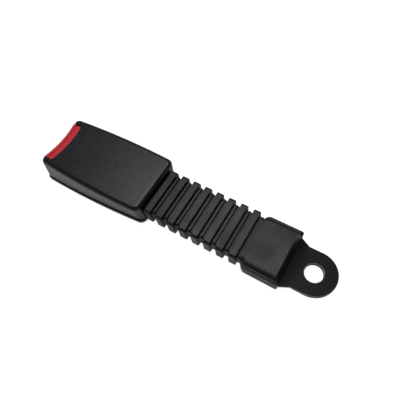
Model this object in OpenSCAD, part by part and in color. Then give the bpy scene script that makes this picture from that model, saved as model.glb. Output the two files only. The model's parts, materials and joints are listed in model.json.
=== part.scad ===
// Bolt-on seat belt buckle on a ribbed flexible stalk.
// Origin: centre of the bolt hole, on the underside of the anchor tab.
// +X runs along the stalk to the buckle's mouth, +Z is up on the button side. Millimetres.

/* [Anchor tab] */
// Diameter of the bolt hole
hole_d = 12; // [10:0.5:14]
// Broken edge round the upper rim of the bolt hole
hole_edge = 0.5; // [0.2:0.1:0.8]
// Width of the exposed tab, which ends in a half circle
tab_w = 30; // [27:1:32]
// Thickness of the steel plate
plate_t = 3; // [2.5:0.25:3.5]
// Width of the plate's hidden root
root_w = 36; // [34:0.5:37]
// Distance from the hole's centre to the boot's mouth
tab_reach = 16; // [15:1:26]
// Length along which the tab widens to its root
flare_len = 6; // [4:0.5:8]
// Height of the plate's underside above the surface the part lies on
tab_lift = 2.5; // [2:0.25:3.5]
// Height by which the hidden root is set above the tab
joggle = 4; // [3:0.25:4.5]
// Length of the webbing slot, across the plate
slot_w = 29; // [28.6:0.2:31]
// Width of the webbing slot, along the plate
slot_gap = 5; // [4.4:0.2:6]
// Width of the bar that the webbing bears on
bar_w = 6; // [5:0.5:7]

/* [Webbing] */
// Width of the webbing
web_w = 27; // [22:1:28]
// Thickness of one layer of webbing
web_t = 1.2; // [1:0.1:1.4]
// Room left round what the webbing goes round
web_gap = 0.3; // [0.2:0.05:0.4]
// Length of the stretch where both layers are sewn together
sewn_len = 56; // [30:2:60]

/* [Boot] */
// Length of the boot from its mouth to the buckle
boot_len = 101; // [100:1:120]
// Number of ring ribs
rib_n = 8; // [5:1:8]
// Distance from one rib to the next
rib_pitch = 9.35; // [8.6:0.05:9.4]
// Length of a rib's flat crest
rib_crest = 4.6; // [4:0.2:5.6]
// Width over the ribs
rib_w = 37; // [36:0.5:38]
// Height of the ribs' crests above the surface
rib_top = 15.7; // [15:0.1:17]
// Height of the ribs' undersides above the surface
rib_low = 1.2; // [0.4:0.2:1.4]
// Depth of the grooves between the ribs
groove_d = 2; // [1.4:0.1:2.2]
// Length of the sloping wall on each side of a rib
rib_slope = 0.5; // [0.2:0.1:0.8]
// Length of the plain block round the plate
block_len = 27; // [25:0.5:28]
// Width of the block at its side bands
block_w = 40; // [39:0.5:42]
// Height of the block
block_h = 14; // [13.5:0.25:15]
// Bevel along the block's lower edges
block_edge = 1.6; // [1:0.1:2]
// Width of the side band outside the block's top
cap_in = 2.1; // [1.6:0.1:2.4]
// Width of the soft edge round the block's top
cap_soft = 3; // [2:0.1:3.4]
// Depth of the crease between the block's top and its side band
crease_h = 1.9; // [1.5:0.1:2.2]
// Bevel along the ribs' edges
rib_edge = 1; // [0.6:0.1:1.4]
// Rubber wall of the block
boot_wall = 1.5; // [1.2:0.1:1.6]
// Length of the neck's flange
flange_len = 2; // [1.5:0.25:2.5]
// Height of the flange above the neck
flange_lip = 1.5; // [1:0.1:1.6]

/* [Buckle covers] */
// Length of the buckle
body_len = 90; // [88:1:100]
// Greatest width of the buckle, at its parting line
body_w = 50; // [49:0.5:54]
// Height of the buckle
body_h = 21; // [20.6:0.2:24]
// Difference between the widths at the parting line and at the shoulder
side_lean = 2; // [1:0.25:2.5]
// Radius of the gently bowed sides, seen from above
side_bow = 690; // [560:10:900]
// Corner radius at the rear, seen from above
corner_r = 4.5; // [3:0.5:6]
// Radius of the rounded edge round the top
top_edge = 3; // [2:0.25:3.5]
// Radius of the rounded edge round the underside
low_edge = 1.6; // [1.6:0.2:2]
// Distance that the lower cover stands out beyond the upper cover's sides
lip_out = 0.8; // [0.4:0.1:1.2]
// Wall of the covers
wall = 2; // [1.6:0.1:2.2]
// Height of the parting line above the surface
split_h = 3.5; // [3.2:0.1:4]
// Depth and height of the shadow gap at the parting line
shadow = 0.7; // [0.3:0.1:0.9]
// Floor of the lower cover
floor_t = 2; // [1.6:0.1:2.1]

/* [Press button] */
// How much wider the button is than the frame
button_over = 0.6; // [0.2:0.1:0.8]
// Travel of the button
button_travel = 6; // [5:0.5:6.5]
// Radius of the button's hollow front face and of the cover's edge behind it
button_arc = 70; // [60:5:100]
// Length of the button's top that shows at its middle
button_show = 9.5; // [8:0.5:11]
// Distance that the button stands out of the ears
button_proud = 1; // [0:0.25:2]
// Side clearance of the button
button_gap = 0.2; // [0.15:0.05:0.3]
// Thickness of the cam arms
arm_t = 2; // [1.6:0.1:2.2]

/* [Latch] */
// Thickness of the frame's and the latch's steel
steel_t = 2.5; // [2.2:0.1:2.6]
// Width over the frame's side walls
frame_w = 34; // [33.4:0.2:34.6]
// Height of the gap between the frame and the latch that the tongue slides in
tongue_gap = 3.5; // [3.2:0.1:3.6]
// Width of the tongue that the buckle takes
tongue_w = 25; // [24:0.5:25.5]
// Height of the slot in the mouth guide
slot_h = 4.4; // [4.2:0.1:4.6]
// Distance from the buckle's front to the latch's hinge
pivot_back = 58; // [56:0.5:62]
// Distance from the hinge to the tooth's locking face
tooth_reach = 25; // [24:0.5:26]
// Width of the tooth
tooth_w = 11; // [9:0.5:12]
// Angle that the latch lifts through
lift = 11; // [10:0.5:12]
// Radius of the hinge pin
hinge_r = 2; // [1.6:0.1:2.2]
// Radius of the strap pin
strap_r = 2.5; // [2.2:0.1:2.6]
// Running clearance of pins in their holes
pin_gap = 0.05; // [0.03:0.01:0.08]
// Travel of the ejector
eject_travel = 12; // [9:0.5:13]
// Wire thickness of the springs
wire_d = 0.6; // [0.4:0.05:0.7]

/* [Hidden] */
$fn = 64;

steel_black = [0.12, 0.12, 0.13];
steel_grey = [0.62, 0.63, 0.66];
plastic_black = [0.17, 0.17, 0.18];
rubber_black = [0.14, 0.14, 0.15];

// Heights
ground = -tab_lift;
split_z = ground + split_h;
top_z = ground + body_h;
floor_z = ground + floor_t;
rest_gap = 0.5;
frame_z = floor_z + rest_gap;
deck_z = frame_z + steel_t;
latch_z = deck_z + tongue_gap;
latch_top = latch_z + steel_t;
pivot_z = latch_z + 3.6;
strap_z = joggle + plate_t / 2;
frame_h = 13.5;
ceiling_z = top_z - wall;

// Places along the stalk
mouth_x = tab_reach;
rear_x = mouth_x + boot_len;
front_x = rear_x + body_len;
pivot_x = front_x - pivot_back;
tooth_x = pivot_x + tooth_reach;

// The tooth's window, the ejector's keel and slot behind it, and the frame's rear edge behind that
window_rear = 2.5;
window_front = 6.5;
window_x = [tooth_x - window_rear, tooth_x + window_front];
keel_back = 7.2;
keel_len = 8;
keel_front = window_x[0] - keel_back;
pressed_len = 7;
slot_back = keel_front - keel_len - eject_travel - pressed_len;
base_margin = 2.3;
base_x = slot_back - base_margin;
strap_back = 6;
strap_x = base_x - strap_back;

// The mouth guide and the frame's front edge behind it
guide_len = 11.3;
guide_back = 0.4;
guide_x = front_x - guide_back - guide_len;
base_end = guide_x - 0.3;

// Joins solids that are then cut: a cut runs this far past a face
past = 1;

// Middles of the side arcs at the parting line and at the shoulder
low_bow_back = 24;
high_bow_in = 32;
low_bow_x = front_x - low_bow_back;
high_bow_x = rear_x + high_bow_in;
function bow(x, middle) = side_bow - sqrt(side_bow * side_bow - (x - middle) * (x - middle));
function half_low(x) = body_w / 2 - bow(x, low_bow_x);

// A bar or wall given by its side view, running across the stalk from y0 to y1
module across(y0, y1) {
    translate([0, y1, 0]) rotate([90, 0, 0]) linear_extrude(y1 - y0) children();
}

// A cylinder across the stalk, centred on x and z
module cross_pin(x, z, r, y0, y1) {
    translate([x, y1, z]) rotate([90, 0, 0]) cylinder(r = r, h = y1 - y0);
}

// Both sides of what is drawn on the +Y side
module both_sides() {
    children();
    mirror([0, 1, 0]) children();
}

// Anchor plate

bend_x = mouth_x - 0.4;
flare_start = bend_x - flare_len;
bend_len = 5;
slot_in = 12.5;
slot_x = mouth_x + slot_in;
bar_x = slot_x + slot_gap;
bar_nose = plate_t / 2;
plate_end = bar_x + bar_w;
plate_corner = 3;

module anchor_plate() {
    color(steel_black) difference() {
        union() {
            linear_extrude(plate_t) {
                circle(d = tab_w);
                polygon([[0, -tab_w / 2], [flare_start, -tab_w / 2], [bend_x, -root_w / 2],
                         [bend_x, root_w / 2], [flare_start, tab_w / 2], [0, tab_w / 2]]);
            }
            intersection() {
                across(-root_w / 2, root_w / 2) polygon(root_side(0, plate_end));
                linear_extrude(joggle + plate_t) root_plan();
            }
        }
        bolt_hole();
        translate([slot_x, -slot_w / 2, joggle - past])
            cube([slot_gap + bar_nose, slot_w, plate_t + 2 * past]);
    }
    color(steel_black) cross_pin(bar_x + bar_nose, strap_z, bar_nose, -slot_w / 2, slot_w / 2);
}

// Side view of the joggled root up to x, grown above and below
function root_side(grow, x) = [
    [bend_x, -grow], [bend_x + bend_len, joggle - grow], [x, joggle - grow], [x, joggle + plate_t + grow],
    [bend_x + bend_len, joggle + plate_t + grow], [bend_x, plate_t + grow]];

// Plan of the hidden root, with its two rear corners rounded
module root_plan() {
    translate([bend_x, -root_w / 2]) square([plate_end - plate_corner - bend_x, root_w]);
    translate([bend_x, plate_corner - root_w / 2]) square([plate_end - bend_x, root_w - 2 * plate_corner]);
    for (y = [-1, 1])
        translate([plate_end - plate_corner, y * (root_w / 2 - plate_corner)]) circle(plate_corner);
}

module bolt_hole() {
    translate([0, 0, -past]) cylinder(d = hole_d, h = plate_t + 2 * past);
    translate([0, 0, plate_t - hole_edge])
        cylinder(d1 = hole_d, d2 = hole_d + 4 * hole_edge, h = 2 * hole_edge);
}

// Webbing, looped through the plate's slot and round the strap pin

sleeve_r = strap_r + 0.8;
eye_front_r = bar_nose + web_gap;
eye_rear_r = sleeve_r + web_gap;
eye_front_x = bar_x + bar_nose;
sewn_mid = (eye_front_x + strap_x) / 2;
sewn_x = [sewn_mid - sewn_len / 2, sewn_mid + sewn_len / 2];

// Side view of a stretch that runs from radius r0 at x0 to radius r1 at x1
module stretch(x0, r0, x1, r1) {
    hull() {
        translate([x0, strap_z]) circle(r0, $fn = 32);
        translate([x1, strap_z]) circle(r1, $fn = 32);
    }
}

module webbing_outline() {
    fold = 0.05;
    difference() {
        union() {
            stretch(eye_front_x, eye_front_r + web_t, plate_end, eye_front_r + web_t);
            stretch(plate_end, eye_front_r + web_t, sewn_x[0], web_t);
            stretch(sewn_x[0], web_t, sewn_x[1], web_t);
            stretch(sewn_x[1], web_t, strap_x, eye_rear_r + web_t);
        }
        stretch(eye_front_x, eye_front_r, plate_end, eye_front_r);
        stretch(plate_end, eye_front_r, sewn_x[0], fold);
        stretch(sewn_x[1], fold, strap_x, eye_rear_r);
    }
}

module webbing_loop() color([0.1, 0.1, 0.11]) across(-web_w / 2, web_w / 2) webbing_outline();

// Four rows of stitches along the sewn stretch, on both faces
stitch_rows = 4;
stitch_n = 8;
stitch = [3.4, 0.9, 0.3];
stitch_in = 3;
stitch_pitch = (sewn_len - 4) / stitch_n;

module loop_stitching() {
    row_step = (web_w - 2 * stitch_in) / (stitch_rows - 1);
    color([0.75, 0.75, 0.72])
        for (row = [0 : stitch_rows - 1], i = [0 : stitch_n - 1], face = [0, 1])
            translate([sewn_x[0] + 2 + (i + 0.5) * stitch_pitch - stitch[0] / 2,
                       row * row_step + stitch_in - web_w / 2 - stitch[1] / 2,
                       strap_z - web_t - stitch[2] + face * (2 * web_t + stitch[2])])
                cube(stitch);
}

// Ribbed boot: one skin drawn through rings of points, less the hollow inside

block_end = mouth_x + block_len;
block_top = ground + block_h;
plate_gap = 0.35;

// Half of a plain ring: half width, top, bottom, edge bevel
function half_ring(w, top, low, edge) = [
    [w - edge, top], [w - 0.55 * edge, top - 0.08 * edge], [w - 0.2 * edge, top - 0.35 * edge],
    [w - 0.04 * edge, top - 0.7 * edge], [w, top - 1.1 * edge], [w, low + edge],
    [w - 0.08 * edge, low + 0.7 * edge], [w - 0.3 * edge, low + 0.3 * edge], [w - edge, low]];
// Half of a block ring: a soft edge round the top, a crease under it and a bulging side band
function half_block(w, top, low, edge) = [
    [w - cap_in - cap_soft, top], [w - cap_in - 0.4, top - 0.4], [w - cap_in, top - 1],
    [w - cap_in, top - crease_h], [w - cap_in + 1, top - crease_h], [w, top - crease_h - 1.3],
    [w, low + edge], [w - 0.3 * edge, low + 0.3 * edge], [w - edge, low]];
function ring_of(x, half) = [for (p = half) [x, p[0], p[1]],
    for (i = [len(half) - 1 : -1 : 0]) [x, -half[i][0], half[i][1]]];
function ring(x, w, top, low, edge) = ring_of(x, half_ring(w, top, low, edge));

// A closed skin through a list of rings that run towards +X
module skin(rings) {
    n = len(rings[0]);
    last = len(rings) - 1;
    polyhedron(
        points = [for (r = rings) each r],
        faces = [
            [for (i = [n - 1 : -1 : 0]) i],
            for (k = [0 : last - 1], i = [0 : n - 1]) let (j = (i + 1) % n)
                [k * n + i, k * n + j, (k + 1) * n + j, (k + 1) * n + i],
            [for (i = [0 : n - 1]) last * n + i]],
        convexity = 12);
}

rib_back = 0.4;
rib_first = rear_x - rib_back - rib_slope - rib_crest;
function rib_x(i) = rib_first - i * rib_pitch;
rib_z = [ground + rib_low, ground + rib_top];
groove_top = rib_z[1] - groove_d;
neck_in = 3;
neck_w = rib_w - 2 * neck_in;
neck_z = [frame_z + 0.1, groove_top];
neck_gap = 0.3;
flange_x = rear_x + wall + neck_gap;

function crest(x) = ring(x, rib_w / 2, rib_z[1], rib_z[0], rib_edge);
function groove(x) = ring(x, rib_w / 2 - groove_d, groove_top, rib_z[0] + groove_d, rib_edge);
function block(x, inset) = let (drop = min(inset, max(0, block_top - groove_top)))
    ring_of(x, half_block(block_w / 2 - inset, block_top - drop, ground + inset, block_edge));
function neck(x, grow) = ring(x, neck_w / 2 + grow, neck_z[1] + grow, neck_z[0] - grow / 5, rib_edge);

boot_rings = [
    block(mouth_x, 0.5),
    block(mouth_x + 0.8, 0),
    block(block_end - 4.5, 0),
    block(block_end - 2.4, 0.5),
    block(block_end - 0.8, 1.6),
    groove(block_end),
    for (i = [rib_n - 1 : -1 : 0]) each [
        groove(rib_x(i) - rib_slope), crest(rib_x(i)), crest(rib_x(i) + rib_crest),
        groove(rib_x(i) + rib_crest + rib_slope)],
    neck(rear_x - neck_gap, 0),
    neck(flange_x, 0),
    neck(flange_x + 0.01, flange_lip),
    neck(flange_x + flange_len, flange_lip)];

hollow_w = rib_w - 2 * groove_d - 2.8;
hollow_z = [rib_z[0] + groove_d + 1.1, groove_top - 1.3];
function hollow(x, w, z, edge = 1) = ring(x, w / 2, z[1], z[0], edge);
shoulder_x = plate_end + 2;

// The mouth's end face leans back between two cheeks
cheek_w = 1.4;
lean_foot = [mouth_x + 0.4, plate_t + 2];
lean_top_x = mouth_x + 2.9;
hollow_x = lean_top_x + boot_wall;

hollow_rings = [
    hollow(hollow_x, root_w + 1.6, [ground + boot_wall, block_top - boot_wall], 5),
    hollow(plate_end + 0.6, root_w + 1.6, [ground + boot_wall, block_top - boot_wall], 5),
    hollow(shoulder_x, hollow_w, hollow_z),
    hollow(rear_x - 2, hollow_w, hollow_z),
    hollow(rear_x, neck_w - 2.6, [neck_z[0] + 1.1, neck_z[1] - 1.1]),
    hollow(flange_x + flange_len + past, neck_w - 2.6, [neck_z[0] + 1.1, neck_z[1] - 1.1])];

module ribbed_boot() {
    color(rubber_black) difference() {
        skin(boot_rings);
        skin(hollow_rings);
        across(cheek_w - block_w / 2, block_w / 2 - cheek_w)
            polygon([[mouth_x - past, 0], [lean_foot[0], 0], lean_foot, [lean_top_x, block_top],
                     [lean_top_x, block_top + past], [mouth_x - past, block_top + past]]);
        across(-root_w / 2 - plate_gap, root_w / 2 + plate_gap)
            polygon([[mouth_x - past, plate_t + plate_gap], [mouth_x - past, -plate_gap],
                     each root_side(plate_gap, hollow_x + past)]);
    }
}

// Buckle covers

// Plan of the buckle with its sides bowed about one middle
module plan(middle, half_w, inset) {
    offset(r = corner_r, $fn = 32) offset(delta = -corner_r - inset) intersection() {
        translate([rear_x, -half_w]) square([body_len, 2 * half_w]);
        translate([middle, half_w - side_bow]) circle(side_bow, $fn = 720);
        translate([middle, side_bow - half_w]) circle(side_bow, $fn = 720);
    }
}

module slab(z, middle, half_w, inset) {
    translate([0, 0, z]) linear_extrude(0.01) plan(middle, half_w, inset);
}

shoulder_w = body_w / 2 - side_lean / 2;
edge_steps = 6;

// Outer form above the parting line
module upper_form() {
    hull() {
        slab(split_z + shadow, low_bow_x, body_w / 2, 0);
        for (i = [0 : edge_steps]) let (a = 90 * i / edge_steps)
            slab(top_z - 0.01 - top_edge * (1 - sin(a)), high_bow_x, shoulder_w, top_edge * (1 - cos(a)));
    }
    translate([0, 0, split_z]) linear_extrude(shadow + 0.2) plan(low_bow_x, body_w / 2, shadow);
}

// Room inside the upper cover
module upper_room() {
    hull() {
        slab(split_z - past, low_bow_x, body_w / 2, wall);
        slab(top_z - top_edge, high_bow_x, shoulder_w, wall);
        slab(ceiling_z - 0.01, high_bow_x, shoulder_w, wall + 1.4);
    }
}

// Outer form below the parting line, a lip wider than the form above it
module lower_form() {
    half = body_w / 2 + lip_out;
    hull() {
        for (i = [0 : 3]) let (a = 30 * i)
            slab(ground + low_edge * (1 - cos(a)), low_bow_x, half, low_edge * (1 - sin(a)));
        slab(split_z - 0.01, low_bow_x, half, 0);
    }
}

ear_len = 15;
ear_x = front_x - ear_len;
button_w = frame_w + button_over;
throat_w = button_w + 2 * button_gap;
top_cut_x = front_x + button_proud - button_show - (button_w * button_w / 8) / button_arc;

// Opening in the rear wall that the boot's neck passes through
module neck_opening() {
    translate([rear_x - past, -neck_w / 2 - neck_gap, neck_z[0] - neck_gap])
        cube([wall + 2 * past, neck_w + 2 * neck_gap, neck_z[1] - neck_z[0] + 2 * neck_gap]);
}

// Front opening between the ears; the top's edge behind the button is an arc
module button_opening() {
    translate([ear_x - past, -throat_w / 2, split_z - past])
        cube([past + front_x - ear_x + past, throat_w, ceiling_z - split_z + past]);
    intersection() {
        translate([top_cut_x - button_show, -throat_w / 2, ceiling_z - past])
            cube([4 * button_show, throat_w, wall + 2 * past]);
        translate([top_cut_x + button_arc, 0, ceiling_z - 2 * past])
            cylinder(r = button_arc, h = wall + 4 * past);
    }
}

hook_rear = 16;
hook_front = 28;
hook_x = [rear_x + hook_rear, front_x - hook_front];
hook_w = 5;
hook_t = 1.2;
hook_gap = 0.15;
hook_low = floor_z + 0.25;
barb = 0.5;

// Side view of a snap hook, whose barb points outwards at its foot
module hook(grow) {
    rotate([90, 0, 90]) linear_extrude(hook_w + 2 * grow)
        polygon([[-hook_t, hook_low - grow], [-barb * 0.6, hook_low - grow], [barb + grow, hook_low + 0.7],
                 [barb + grow, hook_low + 1.1 + grow], [0, hook_low + 1.1 + grow], [0, split_z + 3],
                 [-hook_t, split_z + 3]]);
}

module hooks(grow) {
    both_sides() for (x = hook_x)
        translate([x - grow, half_low(x) - wall - hook_gap, 0]) hook(grow);
}

// Pads that carry each hook on the inside of the side wall
module hook_roots() {
    both_sides() for (x = hook_x)
        translate([x, half_low(x) - wall - hook_gap - hook_t, split_z + 0.3])
            cube([hook_w, hook_t + 1.2, 4]);
}

// Ribs under the ceiling that hold the bridge down
stay_t = 1.5;
stay_in = 5;

module upper_cover() {
    color(plastic_black) {
        difference() {
            upper_form();
            difference() {
                upper_room();
                both_sides() translate([ear_x, throat_w / 2, split_z - 2 * past])
                    cube([front_x - ear_x, body_w, body_h]);
                translate([rear_x, -body_w / 2, split_z - 2 * past]) cube([wall, body_w, body_h]);
            }
            neck_opening();
            button_opening();
        }
        intersection() {
            upper_form();
            union() {
                hook_roots();
                for (x = [bridge_x + stay_t, bridge_x + bridge_len - 2 * stay_t])
                    translate([x, stay_in - frame_w / 2, bridge_top])
                        cube([stay_t, frame_w - 2 * stay_in, ceiling_z + 0.5 - bridge_top]);
            }
        }
        hooks(0);
    }
}

// Ribs that the frame lies on, and blocks that it lies between
rest_t = 2;
rest_rear = 6;
rest_front = 10;
rest_mid = (base_x + rest_rear + base_end - rest_front) / 2;
rest_x = [base_x + rest_rear, rest_mid, base_end - rest_front];
side_stop = [4, 2.5];
stop_rear = 5;
stop_front = 18;

module lower_cover() {
    color(plastic_black) {
        difference() {
            lower_form();
            translate([0, 0, floor_z]) linear_extrude(split_h) difference() {
                plan(low_bow_x, body_w / 2, wall);
                both_sides() translate([ear_x, throat_w / 2]) square([2 * ear_len, body_w]);
            }
            neck_opening();
            translate([ear_x, -throat_w / 2, floor_z]) cube([2 * ear_len, throat_w, body_h]);
            both_sides() for (x = hook_x)
                translate([x - hook_gap, half_low(x) - wall - past, hook_low])
                    cube([hook_w + 2 * hook_gap, past + barb + 0.15, split_h]);
        }
        for (x = rest_x) translate([x, 1 - frame_w / 2, floor_z]) cube([rest_t, frame_w - 2, rest_gap]);
        both_sides() for (x = [base_x + stop_rear, base_end - stop_front])
            translate([x, frame_w / 2 + 0.15, floor_z])
                cube([side_stop[0], side_stop[1], split_z - floor_z - 0.1]);
    }
}

// Mouth guide: a plastic insert with a funnel that leads the tongue in

guide_w = throat_w - 0.4;
slot_half = tongue_w / 2 + 0.7;
slot_roof = deck_z + slot_h;
guide_top = slot_roof + 1;
funnel_len = 6;

module mouth_guide() {
    color(plastic_black) difference() {
        translate([guide_x, -guide_w / 2, floor_z]) cube([guide_len, guide_w, guide_top - floor_z]);
        translate([guide_x - past, -slot_half, deck_z])
            cube([guide_len + 2 * past, 2 * slot_half, slot_h]);
        hull() {
            translate([guide_x + guide_len - funnel_len, -slot_half, deck_z])
                cube([0.1, 2 * slot_half, slot_h]);
            translate([guide_x + guide_len, -slot_half - 1.7, deck_z - 1.4])
                cube([0.1, 2 * slot_half + 3.4, slot_h + 2]);
        }
    }
}

// Buckle frame: a folded steel channel

lug_reach = 32.3;
lug_x = pivot_x + lug_reach;
lug_t = 2;
lug_half = 3.5;
lug_low = 2.3;
spring_in = 7;
spring_y = frame_w / 2 - spring_in;
spring_z = latch_z + 5.7;
boss_r = 1.2;
boss_len = 3;
ear_r = strap_z - frame_z;
low_wall = tongue_gap + steel_t - 0.4;
wing_reach = 16;
wing_len = 6;
wing_x = [pivot_x + wing_reach, pivot_x + wing_reach + wing_len];
keel_w = 4.8;
peg_r = 1.1;
peg_len = 4;

module frame_side() {
    polygon([[strap_x, frame_z], [base_end, frame_z], [base_end, frame_z + low_wall],
             [lug_x + lug_t, frame_z + low_wall], [lug_x + lug_t, frame_z + frame_h],
             [strap_x + 2 * strap_back, frame_z + frame_h], [strap_x + 0.7 * strap_back, strap_z + ear_r],
             [strap_x, strap_z + ear_r]]);
    translate([strap_x, strap_z]) circle(ear_r);
}

module buckle_frame() {
    color(steel_grey) difference() {
        union() {
            translate([base_x, -frame_w / 2, frame_z]) cube([base_end - base_x, frame_w, steel_t]);
            both_sides() {
                across(frame_w / 2 - steel_t, frame_w / 2) frame_side();
                translate([lug_x, spring_y - lug_half, spring_z - lug_low])
                    cube([lug_t, spring_in + lug_half - steel_t + 0.1,
                        frame_h + frame_z - spring_z + lug_low]);
                translate([lug_x + lug_t - 0.1, spring_y, spring_z]) rotate([0, 90, 0])
                    cylinder(r = boss_r, h = boss_len + 0.1);
            }
        }
        cross_pin(strap_x, strap_z, strap_r + pin_gap, -frame_w, frame_w);
        cross_pin(pivot_x, pivot_z, hinge_r + pin_gap, -frame_w, frame_w);
        cross_pin(rivet_x, rivet_z, rivet_r + pin_gap, -frame_w, frame_w);
        translate([wing_x[0] - 0.5, -frame_w, latch_z - 0.2])
            cube([wing_x[1] - wing_x[0] + 1.2, 2 * frame_w, frame_h]);
        translate([window_x[0], -tooth_w / 2 - 0.8, frame_z - past])
            cube([window_x[1] - window_x[0], tooth_w + 1.6, steel_t + 2 * past]);
        translate([slot_back, -keel_w / 2 - 0.2, frame_z - past])
            cube([keel_front - slot_back + 0.3, keel_w + 0.4, steel_t + 2 * past]);
    }
    color(steel_grey) translate([slot_back - 0.1, 0, spring_low_z]) rotate([0, 90, 0])
        cylinder(r = peg_r, h = peg_len);
}

// Pin with a head on its -Y end and a ring groove on its +Y end
clip_t = 0.8;
module headed_pin(x, z, r, head_r) {
    y_out = frame_w / 2;
    difference() {
        union() {
            cross_pin(x, z, r, -y_out - 0.1, y_out + 0.15 + clip_t + 0.8);
            cross_pin(x, z, head_r, -y_out - 1.3, -y_out - 0.05);
        }
        difference() {
            cross_pin(x, z, r + past, y_out + 0.1, y_out + 0.1 + clip_t + 0.1);
            cross_pin(x, z, r - 0.4, y_out, y_out + 2 * clip_t);
        }
    }
}

// Retaining ring that snaps into the pin's groove
module pin_ring(x, z, r, outer_r) {
    y_out = frame_w / 2 + 0.15;
    difference() {
        cross_pin(x, z, outer_r, y_out, y_out + clip_t);
        cross_pin(x, z, r - 0.36, y_out - past, y_out + clip_t + past);
        translate([x, y_out - past, z - r * 0.7]) cube([outer_r + past, clip_t + 2 * past, r * 1.4]);
    }
}

module strap_pin() color(steel_grey) headed_pin(strap_x, strap_z, strap_r, strap_r + 1.3);
module strap_pin_clip() color(steel_grey) pin_ring(strap_x, strap_z, strap_r, strap_r + 1.5);
module hinge_pin() color(steel_grey) headed_pin(pivot_x, pivot_z, hinge_r, hinge_r + 1.2);
module hinge_pin_clip() color(steel_grey) pin_ring(pivot_x, pivot_z, hinge_r, hinge_r + 1.4);

module strap_sleeve() {
    half = frame_w / 2 - steel_t - 0.2;
    color([0.85, 0.85, 0.82]) difference() {
        cross_pin(strap_x, strap_z, sleeve_r, -half, half);
        cross_pin(strap_x, strap_z, strap_r + pin_gap, -half - past, half + past);
    }
}

// Bridge over the side walls, which the latch springs push against

bridge_x = pivot_x + hinge_r + 1.8;
bridge_len = 10;
bridge_t = 1.5;
bridge_top = frame_z + frame_h + bridge_t;
bridge_drop = 5.5;
rivet_x = bridge_x + bridge_len / 2;
rivet_z = frame_z + frame_h - 2.6;
rivet_r = 1.5;

module spring_bridge() {
    half = frame_w / 2 + bridge_t;
    color(steel_grey) difference() {
        translate([bridge_x, -half, bridge_top - bridge_t - bridge_drop])
            cube([bridge_len, 2 * half, bridge_t + bridge_drop]);
        translate([bridge_x - past, -frame_w / 2, bridge_top - bridge_t - bridge_drop - past])
            cube([bridge_len + 2 * past, frame_w, bridge_drop + past]);
        cross_pin(rivet_x, rivet_z, rivet_r + pin_gap, -half - past, half + past);
    }
}

module bridge_rivets() {
    inner = frame_w / 2 - steel_t;
    outer = frame_w / 2 + bridge_t;
    color(steel_grey) both_sides() {
        cross_pin(rivet_x, rivet_z, rivet_r, inner, outer + 0.1);
        cross_pin(rivet_x, rivet_z, rivet_r + 1.1, outer, outer + 0.8);
    }
}

// Latch plate: pivots on the hinge pin; its wings ride on the button's cams

ear_t = 2.5;
latch_half = frame_w / 2 - steel_t - 0.4;
latch_in = 10;
latch_y = frame_w / 2 - latch_in;
wing_half = frame_w / 2 + 0.4 + arm_t;
nose_len = 5.5;
latch_front = tooth_x + nose_len;
heel = 3;

module latch_plate() {
    color(steel_grey) difference() {
        union() {
            translate([pivot_x - heel, -latch_half, latch_z])
                cube([latch_front - pivot_x + heel, 2 * latch_half, steel_t]);
            translate([wing_x[0], -wing_half, latch_z]) cube([wing_len, 2 * wing_half, steel_t]);
            both_sides() cross_pin(pivot_x, pivot_z, hinge_r + 2, latch_half - ear_t, latch_half);
            across(-tooth_w / 2, tooth_w / 2)
                polygon([[tooth_x, latch_z + 0.1], [tooth_x, frame_z + 0.9], [tooth_x + 1.6, frame_z + 0.9],
                         [latch_front, latch_z + 0.1]]);
        }
        cross_pin(pivot_x, pivot_z, hinge_r + pin_gap, -frame_w, frame_w);
        both_sides() translate([pivot_x - heel - past, -1, latch_z - past])
            cube([2 * heel + 2 * past, latch_half - ear_t + 1, steel_t + 2 * past]);
    }
}

// A compression spring along +Z, with a closed turn at each end, as one swept wire
end_rise = wire_d * 1.08;
function coil_rise(t, turns, span) =
    t < 1 ? t * end_rise
    : t > turns - 1 ? span - (turns - t) * end_rise
    : end_rise + (t - 1) / (turns - 2) * (span - 2 * end_rise);
function coil_point(t, turns, length, r) =
    [r * cos(360 * t), r * sin(360 * t), wire_d / 2 + 0.04 + coil_rise(t, turns, length - wire_d - 0.08)];
coil_steps = 12;
coil_sides = 5;
module coil(length, r, turns) {
    n = turns * coil_steps;
    rings = [for (i = [0 : n]) let (t = i / coil_steps, c = coil_point(t, turns, length, r))
        [for (k = [0 : coil_sides - 1]) let (a = 360 * k / coil_sides, out = wire_d / 2 * cos(a))
            [c[0] + out * cos(360 * t), c[1] + out * sin(360 * t), c[2] + wire_d / 2 * sin(a)]]];
    m = coil_sides;
    polyhedron(
        points = [for (g = rings) each g],
        faces = [[for (i = [m - 1 : -1 : 0]) i],
            for (k = [0 : n - 1], i = [0 : m - 1]) let (j = (i + 1) % m)
                [k * m + i, k * m + j, (k + 1) * m + j, (k + 1) * m + i],
            [for (i = [0 : m - 1]) n * m + i]],
        convexity = 10);
}

latch_coil_r = 1.9;
module latch_spring(side) {
    color(steel_grey) translate([rivet_x, side * latch_y, latch_top])
        coil(frame_z + frame_h - latch_top, latch_coil_r, 4);
}

module latch_spring_left() latch_spring(-1);
module latch_spring_right() latch_spring(1);

// Press button: body between the ears, stop shoulders, and two cam arms beside the frame

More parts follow.
